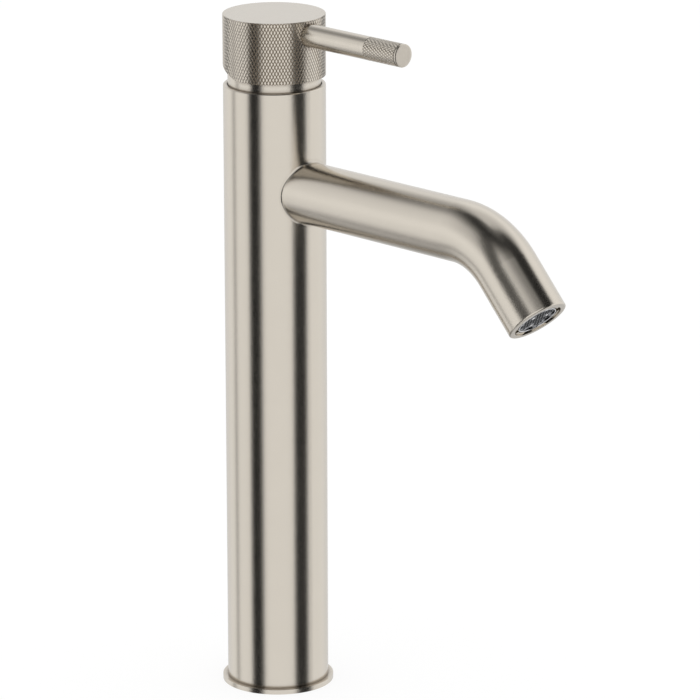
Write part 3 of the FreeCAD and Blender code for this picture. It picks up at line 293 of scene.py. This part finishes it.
# For each CAD material the arguments of plain().
FINISHES = {
    "brass": ("machined_brass", (0.60, 0.40, 0.16), (0.68, 0.47, 0.20), 1.0, 0.30, 3000),
    "copper_pipe": ("copper_tube", (0.62, 0.29, 0.17), (0.70, 0.34, 0.21), 1.0, 0.28, 2500),
    "black_rubber": ("black_rubber", (0.016, 0.016, 0.017), (0.026, 0.026, 0.027), 0.0, 0.62, 4000,
                     0.3),
    "white_plastic": ("white_plastic", (0.72, 0.72, 0.70), (0.78, 0.78, 0.76), 0.0, 0.38, 2500),
    "ceramic": ("ceramic", (0.74, 0.73, 0.70), (0.80, 0.79, 0.76), 0.0, 0.16, 3500, 0.03),
    "stainless": ("stainless", (0.50, 0.50, 0.50), (0.58, 0.58, 0.57), 1.0, 0.26, 5000),
    "aerator_chrome": ("aerator_chrome", (0.78, 0.78, 0.79), (0.84, 0.84, 0.85), 1.0, 0.12, 3000,
                       0.03),
    "grey_plastic": ("grey_plastic", (0.15, 0.16, 0.18), (0.20, 0.21, 0.23), 0.0, 0.35, 3000),
}


def nickel(name, grain_axis, roughness=0.18):
    """Satin nickel: warm grey metal, brushed across grain_axis, speckled, with painted shade in its
    joints and corners.
    """
    material = bpy.data.materials.new(name)
    t = Tree(material)
    where = t.place("Object")
    stretch = [BRUSH_STRETCH] * 3
    stretch["xyz".index(grain_axis)] = 1.0
    brushed = t.noise(where, BRUSH_SCALE, 3.0, stretch)
    speckle = t.noise(where, SPECKLE_SCALE, 2.0)
    patches = t.noise(where, PATCH_SCALE, 3.0)
    # Painted shade: darker where other surfaces come near, in joints and corners; along the spout
    # it is left out toward the outlet.
    clear = t.smooth_step(t.openness(PAINTED_SHADE_REACH, 6), 0.34, 0.96)
    if grain_axis == "x":
        clear = t.larger(clear, t.smooth_step(t.split(where)[0], *PAINTED_SHADE_END))
    colour = t.mix_colour(patches, NICKEL_DARK, NICKEL_LIGHT)
    metal = t.node("ShaderNodeBsdfPrincipled")
    t.feed(metal.inputs["Base Color"], t.mix_colour(clear, NICKEL_PAINTED_SHADE, colour))
    metal.inputs["Metallic"].default_value = 1.0
    gloss = t.plus(t.times(brushed, 0.10), roughness - 0.05)
    t.feed(metal.inputs["Roughness"], t.plus(gloss, t.times(patches, 0.03)))
    t.feed(metal.inputs["Normal"], t.bump(t.plus(brushed, speckle), 0.32, NICKEL_RELIEF))
    t.finish("ShaderNodeOutputMaterial", metal)
    return material


def plain(name, dark, light, metallic, roughness, scale, relief=0.1, shade_reach=0.0):
    """A material that varies softly from dark to light, with a fine noise of that scale in its
    gloss and relief. Where a shade reach is given, it gets painted shade, nearly black, in gaps
    narrower than that."""
    material = bpy.data.materials.new(name)
    t = Tree(material)
    where = t.place("Object")
    fine = t.noise(where, scale, 3.0)
    broad = t.noise(where, scale / 12, 2.0)
    colour = t.mix_colour(broad, (*dark, 1), (*light, 1))
    # Painted shade: nearly black where other surfaces come near, deep in narrow gaps.
    if shade_reach:
        clear = t.smooth_step(t.openness(shade_reach, 8), 0.62, 1.0)
        colour = t.mix_colour(clear, HOLLOW_SHADE_COLOUR, colour)
    body = t.node("ShaderNodeBsdfPrincipled")
    t.feed(body.inputs["Base Color"], colour)
    body.inputs["Metallic"].default_value = metallic
    t.feed(body.inputs["Roughness"], t.plus(t.times(fine, 0.12), roughness - 0.06))
    t.feed(body.inputs["Normal"], t.bump(fine, relief, FINE_RELIEF))
    t.finish("ShaderNodeOutputMaterial", body)
    return material


def dress_nodes():
    """Gives every CAD node its procedural material and returns those that the pieces share."""
    upright = nickel("nickel_upright", "z")
    along_x = nickel("nickel_along_x", "x")
    finishes = {base: plain(*values) for base, values in FINISHES.items()}
    for name, node in NODES.items():
        for index, old in enumerate(node.data.materials):
            base = old.name.split(".")[0]
            if base == "satin_nickel":
                finish = along_x if name in ("spout", "lever_pin") else upright
            else:
                finish = finishes[base]
            node.data.materials[index] = finish
    return upright, along_x, finishes["aerator_chrome"]


# ---------------------------------------------------------------- mesh helpers

def slice_off(shape, point, normal):
    """Cuts shape by a plane and drops what lies on the normal's side."""
    parts = shape.verts[:] + shape.edges[:] + shape.faces[:]
    bmesh.ops.bisect_plane(shape, geom=parts, dist=1e-8, plane_co=point, plane_no=normal,
                           clear_outer=True)


def open_rim(shape, test):
    """The open edges whose corners pass test."""
    return [e for e in shape.edges if len(e.link_faces) == 1 and all(test(v.co) for v in e.verts)]


def grow(shape, rim, place, rings):
    """Extrudes a rim once for each of rings, with its corners at place(co, *ring), and returns
    the last rim. The new faces come in the rim's order, so that each run gives the same mesh.
    Some rings only keep the triangles of a long or wide face short."""
    for values in rings:
        ends = [(e.other_vert(loop.vert), loop.vert) for e in rim for loop in e.link_loops]
        moved = {}
        for v in (v for pair in ends for v in pair):
            if v not in moved:
                moved[v] = shape.verts.new(place(v.co, *values))
        for a, b in ends:
            shape.faces.new((a, b, moved[b], moved[a]))
        rim = [shape.edges.get((moved[a], moved[b])) for a, b in ends]
    return rim


def at_radius(co, radius, z):
    """The point at a height and at a radius from the column's axis, on the side where co is."""
    scale = radius / math.hypot(co.x, co.y)
    return Vector((co.x * scale, co.y * scale, z))


def carve(shape, cutter):
    """Cuts one closed mesh out of another, frees both and returns what is left."""
    pair = []
    for part in (shape, cutter):
        mesh = bpy.data.meshes.new("carving")
        part.to_mesh(mesh)
        part.free()
        pair.append(bpy.data.objects.new("carving", mesh))
        SCENE.collection.objects.link(pair[-1])
    cut = pair[0].modifiers.new("cut", "BOOLEAN")
    cut.operation = "DIFFERENCE"
    cut.solver = "MANIFOLD"
    cut.object = pair[1]
    carved = pair[0].evaluated_get(bpy.context.evaluated_depsgraph_get())
    left = bmesh.new()
    left.from_mesh(carved.to_mesh())
    carved.to_mesh_clear()
    for item in pair:
        bpy.data.meshes.remove(item.data)       # this removes the object too
    return left


def show_mesh(mesh, name, body):
    """Makes a mesh a piece that rides on body."""
    piece = bpy.data.objects.new(name, mesh)
    SCENE.collection.objects.link(piece)
    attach(piece, body)
    return piece


def finish_mesh(shape, name, material, body, on_skin=None):
    """Turns shape into a piece that rides on body. Faces whose corners all pass on_skin keep
    their facets, and the others are smooth between sharp edges."""
    shape.normal_update()
    bmesh.ops.recalc_face_normals(shape, faces=shape.faces)
    for face in shape.faces:
        face.smooth = not (on_skin and all(on_skin(v.co) for v in face.verts))
    for edge in shape.edges:
        if len(edge.link_faces) == 2 and edge.calc_face_angle(0.0) > SMOOTH_ANGLE:
            edge.smooth = False
    mesh = bpy.data.meshes.new(name)
    shape.to_mesh(mesh)
    shape.free()
    mesh.materials.append(material)
    return show_mesh(mesh, name, body)


# ---------------------------------------------------------------- knurled pieces

def knurl_skin(shape, starts, pitch, low, high, depth, flat, at):
    """Adds a band of diamond knurling to shape, round a cylinder and from low to high along it.

    starts is the number of V grooves of each hand and pitch their spacing along the axis. flat is
    half the width of a tip as a share of that spacing, and depth is how deep the grooves go.
    at(angle, along, depth) places a point. The band reaches a little past low and high, and the
    caller slices it there."""
    steps = (flat, 0.5, 1.0 - flat)     # a groove's start, bottom and end, as shares of the spacing
    bottom = 1
    lines = len(steps)
    around = starts * lines
    corners = {}

    def phase(index):
        return index // lines + steps[index % lines]

    def in_groove(index):
        return index % lines <= bottom

    def corner(i, j):
        turns = i // around
        key = (i - turns * around, j - turns * around)
        if key not in corners:
            a, b = phase(key[0]), phase(key[1])
            sink = depth if bottom in (key[0] % lines, key[1] % lines) else 0.0
            place = at(math.pi * (a + b) / starts, pitch * (a - b) / 2, sink)
            corners[key] = shape.verts.new(place)
        return corners[key]

    reach_low = math.floor(2 * low / pitch) - 1
    reach_high = math.ceil(2 * high / pitch) + 1
    for i in range(around):
        for j in range(i - reach_high * lines, i - reach_low * lines):
            square = [corner(i, j), corner(i + 1, j), corner(i + 1, j + 1), corner(i, j + 1)]
            if in_groove(i) and in_groove(j):
                # Where two grooves cross, their walls meet along a diagonal of the square.
                crest = 0 if i % lines == j % lines else 1
                square = square[crest:] + square[:crest]
                shape.faces.new((square[0], square[1], square[2]))
                shape.faces.new((square[0], square[2], square[3]))
            else:
                shape.faces.new(square)


def make_cap(material):
    """The knurled turning cap, open below, with its lower edge cut back at the rear."""
    radius, low, high, edge = 22.5 * MM, 278.1 * MM, 305.3 * MM, 0.1 * MM
    bore, bore_edge, roof, rim_radius = 21.1 * MM, 0.2 * MM, 291.5 * MM, 22.0 * MM
    slope = math.tan(math.radians(17.5))
    starts, pitch, depth, flat = 100, 2.79 * MM, 0.25 * MM, 0.33
    hole_radius, hole_level, hole_middle, hole_length = 2.5 * MM, 294.4 * MM, -14 * MM, 20 * MM
    shape = bmesh.new()
    knurl_skin(shape, starts, pitch, low, high, depth, flat,
               lambda a, s, d: ((radius - d) * math.cos(a), (radius - d) * math.sin(a), s))
    slice_off(shape, (0, 0, high - edge), (0, 0, 1))
    slice_off(shape, (0, 0, low), (0, 0, -1))
    slice_off(shape, (0, 0, low), Vector((-slope, 0, -1)).normalized())

    def on_top(co, r, z):
        return at_radius(co, min(r, math.hypot(co.x, co.y)), z)

    def under(co, r, lift):
        scale = r / math.hypot(co.x, co.y)
        z = low + max(0.0, -co.x * scale) * slope + lift
        return Vector((co.x * scale, co.y * scale, z))

    rim = open_rim(shape, lambda co: co.z > high - edge - 1e-6)
    rim = grow(shape, rim, on_top,
               ((radius - edge, high), (21.2 * MM, high), (14 * MM, high), (6 * MM, high)))
    bmesh.ops.edgeloop_fill(shape, edges=rim)
    rim = open_rim(shape, lambda co: co.z < high - edge)
    rim = grow(shape, rim, under, ((rim_radius, 0.0), (bore + bore_edge, 0.0), (bore, bore_edge)))
    rim = grow(shape, rim, at_radius, ((bore, roof), (12 * MM, roof)))
    bmesh.ops.edgeloop_fill(shape, edges=rim)
    bmesh.ops.recalc_face_normals(shape, faces=shape.faces)

    screw_hole = bmesh.new()
    place = Matrix.Translation((hole_middle, 0, hole_level)) @ Matrix.Rotation(math.pi / 2, 4, "Y")
    bmesh.ops.create_cone(screw_hole, cap_ends=True, segments=48, radius1=hole_radius,
                          radius2=hole_radius, depth=hole_length, matrix=place)
    shape = carve(shape, screw_hole)
    cap = finish_mesh(shape, "knurled_cap", material, "handle",
                      lambda co: math.hypot(co.x, co.y) > radius - depth - CLOSE)
    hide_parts("handle_cap")


def make_lever(material, end_material):
    """The lever pin with its knurled grip, the groove behind its tip and a flat end."""
    level, radius, root_radius, groove_radius = 298.8 * MM, 5.1 * MM, 3 * MM, 4.65 * MM
    start, grip, groove, groove_end, tip = 18 * MM, 59.6 * MM, 78.1 * MM, 78.4 * MM, 79.3 * MM
    step, step_long, edge, edge_middle = 0.12 * MM, 0.1 * MM, 0.25 * MM, 0.07 * MM
    starts, pitch, depth, flat = 24, 2.3 * MM, 0.15 * MM, 0.3
    shape = bmesh.new()
    knurl_skin(shape, starts, pitch, grip, groove, depth, flat,
               lambda a, s, d: (s, (radius - d) * math.cos(a), level + (radius - d) * math.sin(a)))
    slice_off(shape, (groove, 0, 0), (1, 0, 0))
    slice_off(shape, (grip, 0, 0), (-1, 0, 0))

    def round_axis(co, r, x):
        across = Vector((0, co.y, co.z - level))
        across *= r / across.length
        return Vector((x, across.y, level + across.z))

    rim = open_rim(shape, lambda co: co.x > groove - 1e-6)
    rim = grow(shape, rim, round_axis,
               ((groove_radius, groove), (groove_radius, groove_end),
                (radius - step_long, groove_end), (radius, groove_end + step_long),
                (radius, tip - edge), (radius - edge_middle, tip - edge_middle),
                (radius - edge, tip), (4.2 * MM, tip), (2 * MM, tip)))
    bmesh.ops.edgeloop_fill(shape, edges=rim)
    rim = open_rim(shape, lambda co: co.x < grip + 1e-6)
    rim = grow(shape, rim, round_axis,
               ((radius - step, grip), (radius - step, grip - step_long),
                (radius, grip - 0.2 * MM), (radius, 50 * MM), (radius, 40 * MM),
                (radius, 30 * MM), (radius, start), (root_radius, start)))
    bmesh.ops.edgeloop_fill(shape, edges=rim)
    lever = finish_mesh(shape, "knurled_lever", material, "handle",
                        lambda co: grip - CLOSE < co.x < groove + CLOSE
                        and math.hypot(co.y, co.z - level) > radius - depth - CLOSE)
    lever.data.materials.append(end_material)
    for face in lever.data.polygons:
        face.material_index = int(face.normal.x > 0.99)
    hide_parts("lever_pin")


# ---------------------------------------------------------------- aerator

# The spout's outlet: the middle of its face and the angle that it points down.
OUTLET_MIDDLE = (158.869 * MM, 0, 197.381 * MM)
OUTLET_TILT = math.radians(47.1)

# The aerator's sizes are in millimetres and degrees. Heights are from the outlet's face at 0,
# outward, and outlines are (radius, height).
COLLAR = ((9.6, -0.5), (10.8, -0.5), (10.9, -0.6), (10.9, -11.5), (8.9, -11.5), (8.9, -2.6),
          (9.5, -2.6), (9.5, -0.6))
NOTCH_ANGLES = range(-80, 280, 60)
NOTCH_RADIUS, NOTCH_WIDE, NOTCH_DEEP, NOTCH_BASE, NOTCH_TOP = 10.3, 3.8, 2.2, -2.9, 0.5
BEZEL = ((8.5, -0.6), (8.6, -0.5), (8.95, -0.5), (9.05, -0.6), (9.05, -2.6), (8.85, -2.6),
         (8.85, -1.1), (8.5, -1.1))
GRID_RADIUS, GRID_BASE, GRID_TOP = 8.8, -3.5, -1.1
POCKET_ANGLES = (17, -17, 163, 197, 100, -80)
POCKET_RADIUS, POCKET_WIDE, POCKET_DEEP = 8.0, 2.9, 0.85
POCKET_CLEAR_RADIUS, POCKET_CLEAR_ANGLE = 6.6, 17
TAB_ANGLES = (30, 150, 270)
TAB_RADIUS, TAB_WIDE, TAB_DEEP, TAB_TOP, TAB_BEVEL = 4.67, 1.7, 1.2, -0.7, 0.1
TAB_CLEAR = 1.0
CELL_PITCH, CELLS_REACH = 1.6, 7.6
# A cell's width across its flats and the height there, from its foot up to its flared mouth.
CELL_WIDTHS = ((1.15, GRID_BASE - 0.2), (1.30, GRID_TOP - 0.12), (1.35, GRID_TOP + 0.02))


def outlet_place():
    """The outlet's frame: its side, up its face and out of the spout."""
    out = Vector((math.cos(OUTLET_TILT), 0, -math.sin(OUTLET_TILT)))
    up = Vector((math.sin(OUTLET_TILT), 0, math.cos(OUTLET_TILT)))
    axes = Matrix((Vector((0, 1, 0)), up, out)).transposed().to_4x4()
    return Matrix.Translation(OUTLET_MIDDLE) @ axes


def polar(radius, angle):
    """The point at a radius and an angle in degrees."""
    return radius * math.cos(math.radians(angle)), radius * math.sin(math.radians(angle))


def ring(shape, outline):
    """Adds a closed ring round Z with that outline."""
    rows = []
    for k in range(ROUND_SIDES):
        turn = 2 * math.pi * k / ROUND_SIDES
        rows.append([shape.verts.new((r * MM * math.cos(turn), r * MM * math.sin(turn), w * MM))
                     for r, w in outline])
    for k in range(ROUND_SIDES):
        here, there = rows[k], rows[(k + 1) % ROUND_SIDES]
        for i in range(len(outline)):
            j = (i + 1) % len(outline)
            shape.faces.new((here[i], there[i], there[j], here[j]))


def block(shape, radius, angle, wide, deep, base, top, bevel=0.0):
    """Adds a box at a radius and angle round Z, wide across the radius and deep along it."""
    place = (Matrix.Rotation(math.radians(angle), 4, "Z")
             @ Matrix.Translation((radius * MM, 0, (base + top) / 2 * MM))
             @ Matrix.Diagonal((deep * MM, wide * MM, (top - base) * MM, 1)))
    corners = bmesh.ops.create_cube(shape, size=1.0, matrix=place)["verts"]
    if bevel:
        edges = list(dict.fromkeys(edge for v in corners for edge in v.link_edges))
        bmesh.ops.bevel(shape, geom=edges, offset=bevel * MM, segments=2, profile=0.5,
                        affect="EDGES")


def has_cell(x, y):
    """Whether the honeycomb has a cell there, clear of its edge, the tabs and the pockets."""
    away, angle = math.hypot(x, y), math.degrees(math.atan2(y, x))
    if away > CELLS_REACH:
        return False
    if any(math.dist((x, y), polar(TAB_RADIUS, tab)) < TAB_CLEAR for tab in TAB_ANGLES):
        return False
    return away <= POCKET_CLEAR_RADIUS or all(
        abs((angle - pocket + 180) % 360 - 180) >= POCKET_CLEAR_ANGLE for pocket in POCKET_ANGLES)


def cell(shape, x, y):
    """Adds a flared hexagonal prism, to be cut out of the honeycomb."""
    levels = []
    for flats, height in CELL_WIDTHS:
        points = [polar(flats / math.sqrt(3), 30 + 60 * k) for k in range(6)]
        levels.append([shape.verts.new(((x + a) * MM, (y + b) * MM, height * MM))
                       for a, b in points])
    for under, over in zip(levels, levels[1:]):
        for k in range(6):
            shape.faces.new((under[k], under[(k + 1) % 6], over[(k + 1) % 6], over[k]))
    shape.faces.new(levels[0][::-1])
    shape.faces.new(levels[-1])


def make_aerator(collar_finish, chrome, mesh_finish):
    """The aerator's notched collar, chrome bezel and honeycomb with three bright tabs."""
    outlet = outlet_place()

    def show(shape, name, finish, node):
        shape.transform(outlet)
        piece = finish_mesh(shape, name, finish, "mixer")
        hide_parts(node)

    collar = bmesh.new()
    ring(collar, COLLAR)
    bmesh.ops.recalc_face_normals(collar, faces=collar.faces)
    notches = bmesh.new()
    for angle in NOTCH_ANGLES:
        block(notches, NOTCH_RADIUS, angle, NOTCH_WIDE, NOTCH_DEEP, NOTCH_BASE, NOTCH_TOP)
    show(carve(collar, notches), "aerator_collar", collar_finish, "aerator_body")

    bezel = bmesh.new()
    ring(bezel, BEZEL)
    show(bezel, "aerator_bezel", chrome, "aerator_body")

    plate = bmesh.new()
    middle = Matrix.Translation((0, 0, (GRID_TOP + GRID_BASE) / 2 * MM))
    bmesh.ops.create_cone(plate, cap_ends=True, segments=ROUND_SIDES, radius1=GRID_RADIUS * MM,
                          radius2=GRID_RADIUS * MM, depth=(GRID_TOP - GRID_BASE) * MM,
                          matrix=middle)
    holes = bmesh.new()
    for angle in POCKET_ANGLES:
        block(holes, POCKET_RADIUS, angle, POCKET_WIDE, POCKET_DEEP, GRID_BASE - 0.5, 0.0)
    rows = int(GRID_RADIUS / CELL_PITCH) + 2
    for row in range(-rows, rows + 1):
        for column in range(-rows, rows + 1):
            x, y = (column + row % 2 / 2) * CELL_PITCH, row * CELL_PITCH * math.sqrt(3) / 2
            if has_cell(x, y):
                cell(holes, x, y)
    show(carve(plate, holes), "aerator_mesh", mesh_finish, "aerator_grid")

    tabs = bmesh.new()
    for angle in TAB_ANGLES:
        block(tabs, TAB_RADIUS, angle, TAB_WIDE, TAB_DEEP, GRID_TOP - 0.1, TAB_TOP, TAB_BEVEL)
    show(tabs, "aerator_tabs", chrome, "aerator_grid")


# ---------------------------------------------------------------- foot

# The solid's chamfer runs from the first radius and height to the second.
CHAMFER_LOW, CHAMFER_HIGH = (24.75 * MM, 1.8 * MM), (24.35 * MM, 2.2 * MM)
CRISP_LOW, CRISP_HIGH = 2.08 * MM, 24.63 * MM


def make_foot(material):
    """The foot with a smaller chamfer than its solid: its low edge goes up to CRISP_LOW and its
    high edge out to CRISP_HIGH."""

    def near(co, place):
        away = math.hypot(co.x, co.y)
        return abs(away - place[0]) < CLOSE and abs(co.z - place[1]) < CLOSE

    mesh = NODES["base_foot"].data.copy()
    for v in mesh.vertices:
        if near(v.co, CHAMFER_LOW):
            v.co.z = CRISP_LOW
        elif near(v.co, CHAMFER_HIGH):
            away = math.hypot(v.co.x, v.co.y)
            v.co.x *= CRISP_HIGH / away
            v.co.y *= CRISP_HIGH / away
    mesh.materials.clear()
    mesh.materials.append(material)
    foot = show_mesh(mesh, "crisp_foot", "mixer")
    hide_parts("base_foot")


make_camera()
make_world()
make_floor()
nickel_upright, nickel_along_x, aerator_chrome = dress_nodes()
nickel_faced = nickel("nickel_faced", "x", 0.36)
# The honeycomb gets painted shade, nearly black, deep in its narrow cells.
mesh_grey = plain("mesh_grey", (0.20, 0.21, 0.225), (0.26, 0.27, 0.29), 1.0, 0.25, 5000,
                  shade_reach=1.2 * MM)
make_cap(nickel_upright)
make_lever(nickel_along_x, nickel_faced)
make_aerator(nickel_along_x, aerator_chrome, mesh_grey)
make_foot(nickel_upright)
